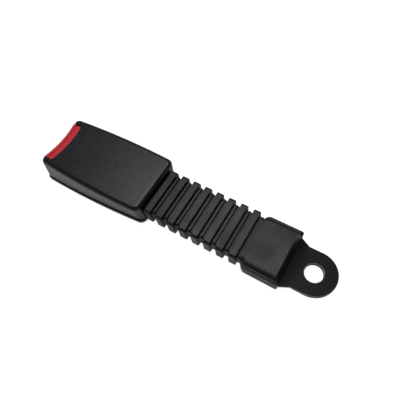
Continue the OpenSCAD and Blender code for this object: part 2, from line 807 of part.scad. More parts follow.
button_low = guide_top + 0.3;
button_top = ceiling_z - 0.25;
shoulder_front = ear_x - 0.2;
button_back = lug_x + lug_t + button_travel + 0.3;
arm_y = frame_w / 2 + 0.4;
arm_low = deck_z + 0.7;
arm_tip = wing_x[0] - 1;
cam_gap = 0.25;
wing_foot = [wing_x[1] - pivot_x, latch_z - pivot_z];
function turned(v, a) = [v[0] * cos(a) - v[1] * sin(a), v[0] * sin(a) + v[1] * cos(a)];
lifted_foot = turned(wing_foot, lift);
cam_low = [wing_x[1], latch_z - cam_gap];
cam_high = [pivot_x + lifted_foot[0] + button_travel, pivot_z + lifted_foot[1] - cam_gap];
pocket_r = 2.7;
pocket_len = 11;
front_arc_x = front_x + button_proud - (button_w * button_w / 8) / button_arc;
crease_back = 2.8;
crease_low = 0.7;
shoulder_h = 6;

module cam_arm() {
    across(arm_y, arm_y + arm_t)
        polygon([[arm_tip, arm_low], [arm_tip, cam_low[1] - 1], [arm_tip + 1, cam_low[1]], cam_low,
                 cam_high, [shoulder_front, cam_high[1]], [shoulder_front, arm_low + 2.2],
                 [shoulder_front - 3, arm_low]]);
}

module button_block() {
    difference() {
        union() {
            translate([button_back, -button_w / 2, button_low])
                cube([front_x + button_proud - button_back, button_w, button_top - button_low]);
            translate([button_back, -arm_y - arm_t, button_low])
                cube([shoulder_front - button_back, 2 * (arm_y + arm_t), shoulder_h]);
        }
        // Hollow front face
        translate([front_arc_x + button_arc, 0, button_low - past])
            cylinder(r = button_arc, h = button_top - button_low + 2 * past, $fn = 360);
        // Valley along the top, from which the front strip rises again
        translate([front_arc_x + button_arc, 0, button_top]) rotate_extrude($fn = 360)
            polygon([[button_arc - 0.4, -0.01], [button_arc + crease_back - 0.2, -crease_low],
                     [button_arc + crease_back, -crease_low],
                     [button_arc + crease_back + 1.6, crease_low], [button_arc - 0.4, crease_low]]);
        // Room inside, open to the rear
        translate([button_back - past, -spring_y + pocket_r + 1.2, button_low + 1.6])
            cube([front_arc_x - 3 - button_back + past, 2 * (spring_y - pocket_r - 1.2),
                  button_top - button_low - 3.4]);
        both_sides() translate([button_back - past, spring_y, spring_z]) rotate([0, 90, 0])
            cylinder(r = pocket_r, h = pocket_len + past);
    }
}

module press_button() {
    color([0.69, 0.19, 0.23]) {
        button_block();
        both_sides() cam_arm();
    }
}

button_coil_r = 2;
module button_spring(side) {
    color(steel_grey) translate([lug_x + lug_t, side * spring_y, spring_z]) rotate([0, 90, 0])
        coil(button_back + pocket_len - lug_x - lug_t, button_coil_r, 7);
}

module button_spring_left() button_spring(-1);
module button_spring_right() button_spring(1);

// Ejector: a plastic fork on the deck, with a keel in the frame's slot

spring_low_z = deck_z + 0.1;
prong_gap = 1.4;
prong_in = tooth_w / 2 + prong_gap;
prong_w = 4.5;
prong_back = 0.6;
ejector_t = 2.4;
prong_tip = window_x[1] - prong_back;
fork_half = prong_in + prong_w;

module ejector() {
    color([0.9, 0.9, 0.88]) difference() {
        union() {
            translate([keel_front - keel_len, -fork_half, deck_z + 0.2])
                cube([keel_len, 2 * fork_half, ejector_t]);
            both_sides() translate([keel_front - keel_len, prong_in, deck_z + 0.2])
                cube([prong_tip - keel_front + keel_len, prong_w, ejector_t]);
            translate([keel_front - keel_len, -keel_w / 2, frame_z + 0.5])
                cube([keel_len, keel_w, steel_t]);
        }
        translate([keel_front - keel_len - past, 0, spring_low_z]) rotate([0, 90, 0])
            cylinder(r = peg_r + 0.1, h = peg_len + past);
    }
}

ejector_coil_r = 1.8;
module ejector_spring() {
    color(steel_grey) translate([slot_back, 0, spring_low_z]) rotate([0, 90, 0])
        coil(keel_front - keel_len - slot_back, ejector_coil_r, 9);
}

// Felt pads that stop the frame rattling in the lower cover
pad_len = 8;
pad_wide = 6;
pad_in = 9;
pad_off = 4;
pad_x = [rest_x[0] + rest_t + pad_off, rest_x[2] - pad_off - pad_len];
module frame_pads() {
    color([0.2, 0.2, 0.21]) both_sides() for (x = pad_x)
        translate([x, frame_w / 2 - pad_in, floor_z]) cube([pad_len, pad_wide, rest_gap]);
}

anchor_plate();
webbing_loop();
loop_stitching();
ribbed_boot();
lower_cover();
upper_cover();
mouth_guide();
buckle_frame();
strap_pin();
strap_sleeve();
strap_pin_clip();
spring_bridge();
bridge_rivets();
hinge_pin();
hinge_pin_clip();
latch_plate();
latch_spring_left();
latch_spring_right();
press_button();
button_spring_left();
button_spring_right();
ejector();
ejector_spring();
frame_pads();
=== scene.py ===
import json
import math
import bmesh
import bpy
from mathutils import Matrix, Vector

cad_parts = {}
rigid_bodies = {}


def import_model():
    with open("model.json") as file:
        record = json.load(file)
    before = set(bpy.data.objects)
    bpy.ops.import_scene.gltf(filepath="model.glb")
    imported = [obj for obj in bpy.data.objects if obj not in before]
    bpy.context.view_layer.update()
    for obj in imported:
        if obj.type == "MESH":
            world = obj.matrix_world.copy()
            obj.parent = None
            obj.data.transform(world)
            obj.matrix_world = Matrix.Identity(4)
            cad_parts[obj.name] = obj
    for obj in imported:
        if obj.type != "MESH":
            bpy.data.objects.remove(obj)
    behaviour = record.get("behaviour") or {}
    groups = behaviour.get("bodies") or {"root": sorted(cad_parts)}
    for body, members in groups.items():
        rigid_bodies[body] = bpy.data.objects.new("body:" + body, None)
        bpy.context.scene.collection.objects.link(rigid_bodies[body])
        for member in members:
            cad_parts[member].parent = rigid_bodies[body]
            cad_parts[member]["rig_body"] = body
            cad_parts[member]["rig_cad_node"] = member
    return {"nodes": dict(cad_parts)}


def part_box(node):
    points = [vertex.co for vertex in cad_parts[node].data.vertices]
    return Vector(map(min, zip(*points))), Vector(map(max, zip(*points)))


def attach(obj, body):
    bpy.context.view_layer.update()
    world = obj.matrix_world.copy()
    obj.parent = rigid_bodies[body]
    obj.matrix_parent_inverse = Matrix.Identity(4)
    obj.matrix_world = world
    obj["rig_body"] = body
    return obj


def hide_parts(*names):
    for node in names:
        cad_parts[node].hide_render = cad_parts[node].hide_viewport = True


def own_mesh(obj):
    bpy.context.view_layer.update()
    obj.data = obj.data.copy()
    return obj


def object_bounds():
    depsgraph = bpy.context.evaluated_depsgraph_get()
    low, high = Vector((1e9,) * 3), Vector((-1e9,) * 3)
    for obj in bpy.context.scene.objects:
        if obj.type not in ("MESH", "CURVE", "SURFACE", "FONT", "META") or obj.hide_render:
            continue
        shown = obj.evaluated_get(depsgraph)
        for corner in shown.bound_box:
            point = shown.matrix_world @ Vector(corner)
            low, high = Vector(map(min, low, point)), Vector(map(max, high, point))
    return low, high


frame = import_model()
cad_box = [list(corner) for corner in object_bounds()]

# Camera: a close view from above the anchor tab, a little over the stalk's left side. The lens is
# a short one, so the near end looks larger.
MM = 0.001
camera_place = Vector((3.3, 83.5, 228.5)) * MM
camera_turn = [math.radians(angle) for angle in (27.697, 5.225, -149.275)]
bpy.ops.object.camera_add(location=camera_place, rotation=camera_turn)
camera = bpy.context.object
camera.data.lens = 31.76
camera.data.sensor_width = 36
camera.data.clip_start = 0.01
bpy.context.scene.camera = camera

# Floor and light: a white table that runs out to a white horizon, under a dim ceiling. One long
# soft box and a lamp hang over the stalk's right side, so that the faces turned to them shine.
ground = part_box("lower_cover")[0].z
table_middle_x = (cad_box[0][0] + cad_box[1][0]) / 2
table_gap = 0.2 * MM
table_glow, table_white = 0.42, 0.95  # as a light and in reflections, and as the camera sees it
bpy.context.scene.view_settings.view_transform = "Standard"
bpy.ops.mesh.primitive_plane_add(size=6, location=(table_middle_x, 0, ground - table_gap))
floor = bpy.context.object
floor.name = "table"
white = bpy.data.materials.new("white table")
white.use_nodes = True
white_shader = white.node_tree.nodes["Principled BSDF"]
white_shader.inputs["Base Color"].default_value = (0.5, 0.5, 0.5, 1)
white_shader.inputs["Roughness"].default_value = 0.95
white_shader.inputs["Specular IOR Level"].default_value = 0
white_shader.inputs["Emission Color"].default_value = (1, 1, 1, 1)
white_ray = white.node_tree.nodes.new("ShaderNodeLightPath")
white_glow = white.node_tree.nodes.new("ShaderNodeMix")
white_glow.inputs["A"].default_value = table_glow
white_glow.inputs["B"].default_value = table_white
white.node_tree.links.new(white_ray.outputs["Is Camera Ray"], white_glow.inputs["Factor"])
white.node_tree.links.new(white_glow.outputs["Result"], white_shader.inputs["Emission Strength"])
floor.data.materials.append(white)

# The ceiling is a little brighter towards a large card, and the camera sees a white horizon.
card_way, card_edge, card_heart = (0.5, 0.85, 0.1), 0.45, 0.95
ceiling_glow, card_glow, horizon_white = 0.11, 0.18, 0.97
studio = bpy.data.worlds.new("studio")
studio.use_nodes = True
bpy.context.scene.world = studio
sky, sky_links = studio.node_tree.nodes, studio.node_tree.links
way = sky.new("ShaderNodeTexCoord")
towards_card = sky.new("ShaderNodeVectorMath")
towards_card.operation = "DOT_PRODUCT"
towards_card.inputs[1].default_value = Vector(card_way).normalized()
card = sky.new("ShaderNodeMapRange")
card.interpolation_type = "SMOOTHSTEP"
card.inputs["From Min"].default_value = card_edge
card.inputs["From Max"].default_value = card_heart
card.inputs["To Min"].default_value = ceiling_glow
card.inputs["To Max"].default_value = card_glow
seen = sky.new("ShaderNodeLightPath")
strength = sky.new("ShaderNodeMix")
strength.inputs["B"].default_value = horizon_white
sky_links.new(way.outputs["Generated"], towards_card.inputs[0])
sky_links.new(towards_card.outputs["Value"], card.inputs["Value"])
sky_links.new(card.outputs["Result"], strength.inputs["A"])
sky_links.new(seen.outputs["Is Camera Ray"], strength.inputs["Factor"])
sky_links.new(strength.outputs["Result"], sky["Background"].inputs["Strength"])
sky["Background"].inputs["Color"].default_value = (0.97, 0.98, 1, 1)

cool_white = (0.94, 0.96, 1)
for name, place, size, power in (("soft box", (0.34, -0.25, 0.8), (0.6, 0.34), 1.85),
                                 ("lamp", (0.2, -0.22, 0.8), (0.24, 0.24), 2.05)):
    bpy.ops.object.light_add(type="AREA", location=place)
    light = bpy.context.object
    light.name = name
    light.data.shape = "RECTANGLE"
    light.data.size, light.data.size_y = size
    light.data.energy = power
    light.data.color = cool_white


# Anchor plate: 3 mm steel blanked and joggled in a press, its edges broken, then dipped in black
# electrocoat. The coat is smooth and satin, and thin along the edges, where some steel shows; the
# lighter band on the edges is also a painted highlight.
def only(piece):
    """Selects one piece alone and makes it the active one."""
    bpy.ops.object.select_all(action="DESELECT")
    piece.select_set(True)
    bpy.context.view_layer.objects.active = piece


def open_mesh(piece):
    """Selects one piece alone and opens its mesh for editing."""
    only(piece)
    bpy.ops.object.mode_set(mode="EDIT")


def close_mesh():
    """Ends the editing of a mesh."""
    bpy.ops.object.mode_set(mode="OBJECT")


def same(one, other):
    """Whether two places are less than a hundredth of a millimetre apart."""
    return abs(one - other) < 0.01 * MM


def pick(kind, test):
    """In an open mesh, selects the vertices, edges or faces that pass a test."""
    bpy.ops.mesh.select_mode(type=kind)
    bpy.ops.mesh.select_all(action="DESELECT")
    mesh = bmesh.from_edit_mesh(bpy.context.object.data)
    for part in {"VERT": mesh.verts, "EDGE": mesh.edges, "FACE": mesh.faces}[kind]:
        part.select_set(test(part))
    mesh.select_flush_mode()
    bmesh.update_edit_mesh(bpy.context.object.data)


def copy_of(node, name):
    """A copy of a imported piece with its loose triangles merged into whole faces."""
    only(frame["nodes"][node])
    bpy.ops.object.duplicate()
    piece = bpy.context.object
    piece.name = name
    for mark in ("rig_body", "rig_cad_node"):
        del piece[mark]
    piece.parent = None
    open_mesh(piece)
    bpy.ops.mesh.select_all(action="SELECT")
    bpy.ops.mesh.remove_doubles(threshold=0.01 * MM)
    bpy.ops.mesh.dissolve_limited(angle_limit=math.radians(0.5))
    close_mesh()
    piece.data.materials.clear()
    return piece


def finish_with(piece, kind, name, **settings):
    """Adds one modifier with its settings and applies it."""
    only(piece)
    modifier = piece.modifiers.new(name, kind)
    for key, value in settings.items():
        setattr(modifier, key, value)
    bpy.ops.object.modifier_apply(modifier=name)


def shade_crisp(piece, angle):
    """Shades a piece smooth over its rounded edges and flat on its large faces."""
    only(piece)
    bpy.ops.object.shade_smooth_by_angle(angle=math.radians(angle))
    finish_with(piece, "WEIGHTED_NORMAL", "flat faces", weight=100, keep_sharp=True)


def build_in(piece, body, slot, material, *nodes):
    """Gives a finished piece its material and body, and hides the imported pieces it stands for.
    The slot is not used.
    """
    piece.data.materials.append(material)
    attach(piece, body)
    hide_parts(*nodes)


def surface_group():
    """Shared effect: fine moulded or sprayed grain, with broad mottling and thin rub marks."""
    group = bpy.data.node_groups.new("surface detail", "ShaderNodeTree")
    for name in ("Grain Scale", "Mottle Scale", "Rub Scale"):
        group.interface.new_socket(name=name, in_out="INPUT", socket_type="NodeSocketFloat")
    for name in ("Grain", "Mottle", "Rubs"):
        group.interface.new_socket(name=name, in_out="OUTPUT", socket_type="NodeSocketFloat")
    start = group.nodes.new("NodeGroupInput")
    end = group.nodes.new("NodeGroupOutput")
    place = group.nodes.new("ShaderNodeTexCoord")

    def noise(scale_name, detail, roughness, stretch=None):
        texture = group.nodes.new("ShaderNodeTexNoise")
        texture.inputs["Detail"].default_value = detail
        texture.inputs["Roughness"].default_value = roughness
        source = place.outputs["Object"]
        if stretch:
            mapping = group.nodes.new("ShaderNodeMapping")
            mapping.inputs["Scale"].default_value = stretch
            mapping.inputs["Rotation"].default_value = (0.1, 0.2, 0.5)
            group.links.new(source, mapping.inputs["Vector"])
            source = mapping.outputs["Vector"]
        group.links.new(source, texture.inputs["Vector"])
        group.links.new(start.outputs[scale_name], texture.inputs["Scale"])
        return texture

    pebble = group.nodes.new("ShaderNodeTexVoronoi")
    pebble.feature = "SMOOTH_F1"
    pebble.inputs["Smoothness"].default_value = 0.6
    group.links.new(place.outputs["Object"], pebble.inputs["Vector"])
    group.links.new(start.outputs["Grain Scale"], pebble.inputs["Scale"])
    fine = noise("Grain Scale", detail=3, roughness=0.6)
    both = group.nodes.new("ShaderNodeMath")
    both.operation = "ADD"
    group.links.new(pebble.outputs["Distance"], both.inputs[0])
    group.links.new(fine.outputs["Fac"], both.inputs[1])
    group.links.new(both.outputs[0], end.inputs["Grain"])
    broad = noise("Mottle Scale", detail=4, roughness=0.55)
    group.links.new(broad.outputs["Fac"], end.inputs["Mottle"])
    streak = noise("Rub Scale", detail=6, roughness=0.7, stretch=(1, 9, 1))
    thin = group.nodes.new("ShaderNodeMapRange")
    thin.inputs["From Min"].default_value = 0.6
    thin.inputs["From Max"].default_value = 0.72
    group.links.new(streak.outputs["Fac"], thin.inputs["Value"])
    group.links.new(thin.outputs["Result"], end.inputs["Rubs"])
    return group


SURFACE = surface_group()


def finish(name, colour, light_colour, roughness, grain, depth, metal=0.0, specular=0.5,
           mottle=25, rub=60, rub_strength=0.1, spread=0.12):
    """A material whose colour, roughness and relief come from the shared surface detail."""
    material = bpy.data.materials.new(name)
    material.use_nodes = True
    nodes, links = material.node_tree.nodes, material.node_tree.links
    shader = nodes["Principled BSDF"]
    shader.inputs["Metallic"].default_value = metal
    shader.inputs["Specular IOR Level"].default_value = specular
    detail = nodes.new("ShaderNodeGroup")
    detail.node_tree = SURFACE
    detail.inputs["Grain Scale"].default_value = grain
    detail.inputs["Mottle Scale"].default_value = mottle
    detail.inputs["Rub Scale"].default_value = rub
    shades = nodes.new("ShaderNodeMix")
    shades.data_type = "RGBA"
    shades.inputs["A"].default_value = (*colour, 1)
    shades.inputs["B"].default_value = (*light_colour, 1)
    links.new(detail.outputs["Mottle"], shades.inputs["Factor"])
    rub_colour = [min(1, part * 1.6 + 0.01) for part in light_colour]
    rubbed = nodes.new("ShaderNodeMix")
    rubbed.data_type = "RGBA"
    rubbed.inputs["B"].default_value = (*rub_colour, 1)
    rub_share = nodes.new("ShaderNodeMath")
    rub_share.operation = "MULTIPLY"
    rub_share.inputs[1].default_value = rub_strength
    links.new(detail.outputs["Rubs"], rub_share.inputs[0])
    links.new(rub_share.outputs[0], rubbed.inputs["Factor"])
    links.new(shades.outputs["Result"], rubbed.inputs["A"])
    links.new(rubbed.outputs["Result"], shader.inputs["Base Color"])
    gloss = nodes.new("ShaderNodeMapRange")
    gloss.inputs["From Min"].default_value = 0.3
    gloss.inputs["From Max"].default_value = 0.7
    gloss.inputs["To Min"].default_value = max(0.03, roughness - spread / 2)
    gloss.inputs["To Max"].default_value = min(1, roughness + spread / 2)
    links.new(detail.outputs["Mottle"], gloss.inputs["Value"])
    links.new(gloss.outputs["Result"], shader.inputs["Roughness"])
    bump = nodes.new("ShaderNodeBump")
    bump.inputs["Strength"].default_value = depth
    bump.inputs["Distance"].default_value = 0.2 * MM
    links.new(detail.outputs["Grain"], bump.inputs["Height"])
    links.new(bump.outputs["Normal"], shader.inputs["Normal"])
    return material


COATED_STEEL = finish("black electrocoat", (0.0075, 0.008, 0.0105), (0.011, 0.0115, 0.014),
                      roughness=0.5, grain=900, depth=0.06, specular=0.14, rub_strength=0.12)
# Lighter, more metallic edge band: worn coat, and also a painted highlight along the edges.
WORN_COAT_AND_EDGE_HIGHLIGHT = finish("thin electrocoat and painted edge highlight", (0.12, 0.12, 0.125), (0.3, 0.3, 0.31),
                   roughness=0.32, grain=900, depth=0.1, metal=0.6, mottle=300, rub=300,
                   rub_strength=0.4, spread=0.2)
plate_thick, tab_end_x = 3 * MM, 12 * MM
broken_edge = 0.4 * MM
anchor_plate = copy_of("anchor_plate", "anchor_tab")
build_in(anchor_plate, "housing", "coated_steel", COATED_STEEL, "anchor_plate")
anchor_plate.data.materials.append(WORN_COAT_AND_EDGE_HIGHLIGHT)
open_mesh(anchor_plate)
for level in (0, plate_thick):
    pick("EDGE", lambda e: all(same(v.co.z, level) and v.co.x < tab_end_x for v in e.verts)
         and any(abs(f.normal.z) < 0.1 for f in e.link_faces))
    bpy.ops.mesh.bevel(offset=broken_edge, segments=3, affect="EDGES", clamp_overlap=False,
                       material=1)
# The chamfer round the hole has the thin coat and painted highlight too.
pick("FACE", lambda f: 0.3 < f.normal.z < 0.9 and f.calc_center_median().x < tab_end_x)
anchor_plate.active_material_index = 1
bpy.ops.object.material_slot_assign()
close_mesh()
shade_crisp(anchor_plate, angle=40)


# Webbing: polyester woven in a herringbone, folded round the plate's bar and the buckle's strap
# pin and sewn to itself. It carries the load, hidden inside the boot.
WEBBING = finish("woven webbing", (0.01, 0.01, 0.011), (0.022, 0.022, 0.023),
                 roughness=0.8, grain=1500, depth=0.3, mottle=90)
yarn_slant, yarns_per_metre, yarn_waver = math.radians(35), 260, 0.6
weave_nodes, weave_links = WEBBING.node_tree.nodes, WEBBING.node_tree.links
cloth = weave_nodes.new("ShaderNodeTexCoord")
yarns = []
for turn in (yarn_slant, -yarn_slant):
    slant, rows = weave_nodes.new("ShaderNodeMapping"), weave_nodes.new("ShaderNodeTexWave")
    slant.inputs["Rotation"].default_value = (0, 0, turn)
    rows.inputs["Scale"].default_value = yarns_per_metre
    rows.inputs["Distortion"].default_value = yarn_waver
    weave_links.new(cloth.outputs["Object"], slant.inputs["Vector"])
    weave_links.new(slant.outputs["Vector"], rows.inputs["Vector"])
    yarns.append(rows.outputs["Fac"])
crossing = weave_nodes.new("ShaderNodeMath")
crossing.operation = "MAXIMUM"
weave_links.new(yarns[0], crossing.inputs[0])
weave_links.new(yarns[1], crossing.inputs[1])
weave_bump = weave_nodes.new("ShaderNodeBump")
weave_bump.inputs["Strength"].default_value = 0.8
weave_bump.inputs["Distance"].default_value = 0.3 * MM
weave_links.new(crossing.outputs[0], weave_bump.inputs["Height"])
weave_links.new(weave_bump.outputs["Normal"], weave_nodes["Principled BSDF"].inputs["Normal"])


def dress(material, *names):
    """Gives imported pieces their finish."""
    for name in names:
        piece = frame["nodes"][name]
        piece.data.materials.clear()
        piece.data.materials.append(material)


dress(WEBBING, "webbing_loop")

# Stitching: bonded polyester thread, pale against the black webbing. Its four rows run along the
# sewn stretch of the loop and show on both faces.
THREAD = finish("thread", (0.4, 0.4, 0.38), (0.5, 0.5, 0.47),
                roughness=0.75, grain=2500, depth=0.5, mottle=200)
dress(THREAD, "loop_stitching")


# Ribbed boot: one moulding of soft black rubber. A plain block grips the plate, ring ribs let the
# stalk flex, and a flanged neck goes through the buckle's rear wall. It is drawn as one tube.
BOOT_RUBBER = finish("matt rubber", (0.0085, 0.0088, 0.0098), (0.0165, 0.0169, 0.018),
                     roughness=0.42, grain=1700, depth=0.15, specular=0.26, mottle=60, rub=90,
                     rub_strength=0.15, spread=0.16)
rear_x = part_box("upper_cover")[0].x
mouth_x, neck_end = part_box("ribbed_boot")[0].x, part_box("ribbed_boot")[1].x
block_end, block_half, block_top = mouth_x + 27 * MM, 20 * MM, ground + 14 * MM
rib_count, rib_pitch, rib_crest, rib_slope = 8, 9.35 * MM, 4.6 * MM, 0.5 * MM
rib_half, rib_top, rib_low = 18.5 * MM, ground + 15.7 * MM, ground + 1.2 * MM
rib_gap = 0.4 * MM
first_rib = rear_x - rib_gap - rib_slope - rib_crest
groove_deep = 2 * MM
groove_half, groove_top = rib_half - groove_deep, rib_top - groove_deep
groove_low = rib_low + groove_deep
floor_half, groove_floor = groove_half - 0.3 * MM, groove_top - 0.5 * MM
bead_half, bead_rise, bead_step = 0.5 * MM, 1.5 * MM, 0.2 * MM
neck_half, neck_low = 15.5 * MM, 0.1 * MM
flange, flange_drop = 1.5 * MM, 0.3 * MM
past = 1 * MM


def section_tube(name, stations, corner):
    """A closed tube along X: a rounded rectangle drawn out from station to station.
    Each station is its place, half width, top and bottom."""
    x, half, top, low = stations[0]
    bpy.ops.mesh.primitive_plane_add(size=1, location=(x, 0, (top + low) / 2),
                                     rotation=(0, math.pi / 2, 0))
    tube = bpy.context.object
    tube.name = name
    tube.scale = (top - low, 2 * half, 1)
    bpy.ops.object.transform_apply(location=True, rotation=True, scale=True)
    open_mesh(tube)
    bpy.ops.mesh.select_all(action="SELECT")
    bpy.ops.mesh.bevel(offset=corner, segments=4, affect="VERTICES")
    pick("EDGE", lambda e: all(same(abs(v.co.y), half) for v in e.verts))
    bpy.ops.mesh.subdivide(number_cuts=5)
    pick("FACE", lambda f: True)
    for (x0, half0, top0, low0), (x1, half1, top1, low1) in zip(stations, stations[1:]):
        lift = (top1 + low1 - top0 - low0) / 2
        bpy.ops.mesh.extrude_region_move(TRANSFORM_OT_translate={"value": (x1 - x0, 0, lift)})
        bpy.ops.transform.resize(value=(1, half1 / half0, (top1 - low1) / (top0 - low0)),
                                 center_override=(x1, 0, (top1 + low1) / 2))
    bpy.ops.mesh.select_all(action="SELECT")
    bpy.ops.mesh.normals_make_consistent(inside=False)
    close_mesh()
    return tube


block = [
    (mouth_x, block_half - 0.5 * MM, block_top - 0.3 * MM, ground + 0.5 * MM),
    (mouth_x + 0.8 * MM, block_half, block_top, ground),
    (block_end - 3.6 * MM, block_half, block_top, ground),
    (block_end - 2 * MM, block_half - 0.7 * MM, block_top - 0.1 * MM, ground + 0.7 * MM),
    (block_end - 0.7 * MM, block_half - 2 * MM, block_top - 0.3 * MM, ground + 2 * MM)]
bead = [(-bead_half - bead_step, 0), (-bead_half, bead_rise),
        (bead_half, bead_rise), (bead_half + bead_step, 0)]
ribs = [(block_end, groove_half, groove_top, groove_low)]
for i in range(rib_count - 1, -1, -1):
    start = first_rib - i * rib_pitch
    if i < rib_count - 1:
        middle = start - (rib_pitch - rib_crest) / 2
        ribs += [(middle + along, floor_half, groove_floor + up, groove_low)
                 for along, up in bead]
    ribs += [
        (start - rib_slope, groove_half, groove_floor, groove_low),
        (start, rib_half, rib_top, rib_low),
        (start + rib_crest, rib_half, rib_top, rib_low),
        (start + rib_crest + rib_slope, groove_half, groove_floor, groove_low)]
neck_start = ribs.pop()[0]
neck = [
    (neck_start, neck_half, groove_top, neck_low),
    (neck_end - 2 * MM, neck_half, groove_top, neck_low),
    (neck_end - 1.9 * MM, neck_half + flange, groove_top + flange, neck_low - flange_drop),
    (neck_end, neck_half + flange, groove_top + flange, neck_low - flange_drop)]
boot = section_tube("rubber_boot", block + ribs + neck, corner=2 * MM)


def shape_ring(piece, x, profile):
    """Moves the points of one ring, from the top down on both sides, to new half widths and
    heights."""
    mesh = bmesh.from_edit_mesh(piece.data)
    ring = sorted((v for v in mesh.verts if same(v.co.x, x) and v.co.y > 0),
                  key=lambda v: (-round(v.co.z, 5), v.co.y))
    places = [v.co.copy() for v in ring[:len(profile)]]
    for place, (half, z) in zip(places, profile):
        pick("VERT", lambda v: same(v.co.x, x) and same(abs(v.co.y), place.y)
             and same(v.co.z, place.z))
        bpy.ops.transform.resize(value=(1, half / place.y, 1), center_override=(x, 0, place.z))
        bpy.ops.transform.translate(value=(0, 0, z - place.z))


# The block's long edges: half widths, and heights from the top, of a round shoulder, a step and
# the round of the side.
shoulder = [(14.8, 0), (16.5, -0.25), (17.45, -0.6), (17.85, -1.1), (17.9, -2.3),
            (18.5, -2.35), (19.3, -2.2), (19.85, -2.8), (20, -3.8)]
open_mesh(boot)
for x, half, top, low in block[1:]:
    inset = block_half - half
    shape_ring(boot, x, [(out * MM - inset, top + up * MM) for out, up in shoulder])
close_mesh()
finish_with(boot, "BEVEL", "moulded edges", width=0.3 * MM, segments=2, limit_method="ANGLE",
            angle_limit=math.radians(35))


def cut_away(piece, *cutters):
    """Takes the cutters' shapes out of a piece and removes them."""
    for cutter in cutters:
        finish_with(piece, "BOOLEAN", "cut", operation="DIFFERENCE", solver="EXACT", object=cutter)
        bpy.data.objects.remove(cutter)


def box_cutter(low, high):
    """A plain box between two corners, for cutting."""
    low, high = Vector(low), Vector(high)
    bpy.ops.mesh.primitive_cube_add(size=1, location=(low + high) / 2, scale=high - low)
    bpy.ops.object.transform_apply(location=True, rotation=True, scale=True)
    return bpy.context.object


block_bore = (18.4 * MM, block_top - 3.2 * MM, ground + 1.5 * MM)
rib_bore = (14.9 * MM, groove_floor - 1.2 * MM, groove_low + 1.1 * MM)
neck_bore = (neck_half - 1.3 * MM, groove_top - 1.1 * MM, neck_low + 1.1 * MM)
core = section_tube("core", [
    (mouth_x + 4.4 * MM, *block_bore), (mouth_x + 24.2 * MM, *block_bore),
    (mouth_x + 25.5 * MM, *rib_bore), (rear_x - 2 * MM, *rib_bore),
    (rear_x, *neck_bore), (neck_end + past, *neck_bore)], corner=1 * MM)
slot_half, slot_play, slot_deep, slot_rise = 18.35 * MM, 0.35 * MM, 5 * MM, 3.4 * MM
plate_slot = box_cutter((mouth_x - past, -slot_half, -slot_play),
                        (mouth_x + slot_deep, slot_half, plate_thick + slot_play))
open_mesh(plate_slot)
pick("VERT", lambda v: v.co.x > mouth_x and v.co.z > 0)
bpy.ops.transform.translate(value=(0, 0, slot_rise))
close_mesh()
lean_half, lean_foot, lean_start_z, lean_back = 18.6 * MM, 0.4 * MM, 5 * MM, 2.9 * MM
lean = box_cutter((mouth_x - 2 * past, -lean_half, 0),
                  (mouth_x + lean_foot, lean_half, block_top + past))
open_mesh(lean)
bpy.ops.mesh.select_all(action="SELECT")
bpy.ops.mesh.bisect(plane_co=(0, 0, lean_start_z), plane_no=(0, 0, 1))
pick("VERT", lambda v: v.co.x > mouth_x and v.co.z > block_top)
bpy.ops.transform.translate(value=(lean_back, 0, 0))
close_mesh()
cut_away(boot, lean, plate_slot, core)
shade_crisp(boot, angle=35)
build_in(boot, "housing", "boot_rubber", BOOT_RUBBER, "ribbed_boot")


# Frame, bridge and latch plate: blanked and folded from steel strip and zinc plated, with faint
# rub marks. The bridge is riveted over the frame, and the latch hinges under it.
PLATED_STEEL = finish("zinc plate", (0.5, 0.49, 0.45), (0.62, 0.61, 0.58),
                      roughness=0.34, grain=500, depth=0.08, metal=1.0, mottle=80, rub=150,
                      rub_strength=0.3, spread=0.14)
dress(PLATED_STEEL, "buckle_frame", "spring_bridge", "latch_plate")

# Pins and rivets: turned from bright bar. The strap pin and the hinge pin each have a head at one
# end and a spring clip in a groove at the other.
PIN_STEEL = finish("turned steel", (0.45, 0.45, 0.46), (0.56, 0.56, 0.57),
                   roughness=0.26, grain=800, depth=0.05, metal=1.0, mottle=120, rub=200,
                   rub_strength=0.25, spread=0.1)
SPRING_STEEL = finish("spring wire", (0.32, 0.32, 0.33), (0.42, 0.42, 0.43),
                      roughness=0.3, grain=900, depth=0.05, metal=1.0, mottle=150)
dress(PIN_STEEL, "strap_pin", "hinge_pin", "bridge_rivets")
dress(SPRING_STEEL, "strap_pin_clip", "hinge_pin_clip")

# Strap sleeve and ejector: moulded in white acetal, which slides well. The sleeve turns on the
# strap pin inside the webbing, and the ejector runs in the frame's long slot.
WHITE_PLASTIC = finish("natural acetal", (0.7, 0.69, 0.65), (0.8, 0.79, 0.75),
                       roughness=0.42, grain=900, depth=0.05, mottle=60)
dress(WHITE_PLASTIC, "strap_sleeve", "ejector")


# Springs: coiled from drawn wire, each held at one end and shortened by the piece that leans on
# it. Two push the button out, two press the latch down, and one pushes the ejector forward.
def coil_spring(node, name):
    """Copies an imported spring, which its joint then shortens towards the end that is held."""
    spring = copy_of(node, name)
    only(spring)
    bpy.ops.object.shade_smooth_by_angle(angle=math.radians(50))
    build_in(spring, "housing", "spring_steel", SPRING_STEEL, node)
    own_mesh(spring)


for side in ("left", "right"):
    coil_spring("button_spring_" + side, "button_coil_" + side)
    coil_spring("latch_spring_" + side, "latch_coil_" + side)
coil_spring("ejector_spring", "ejector_coil")

# Pads: strips of black felt, cut from sheet and stuck between the frame and the lower cover's
# floor, so that nothing rattles.
FELT = finish("felt", (0.04, 0.04, 0.042), (0.06, 0.06, 0.062),
              roughness=0.9, grain=1500, depth=0.8, mottle=200)
dress(FELT, "frame_pads")


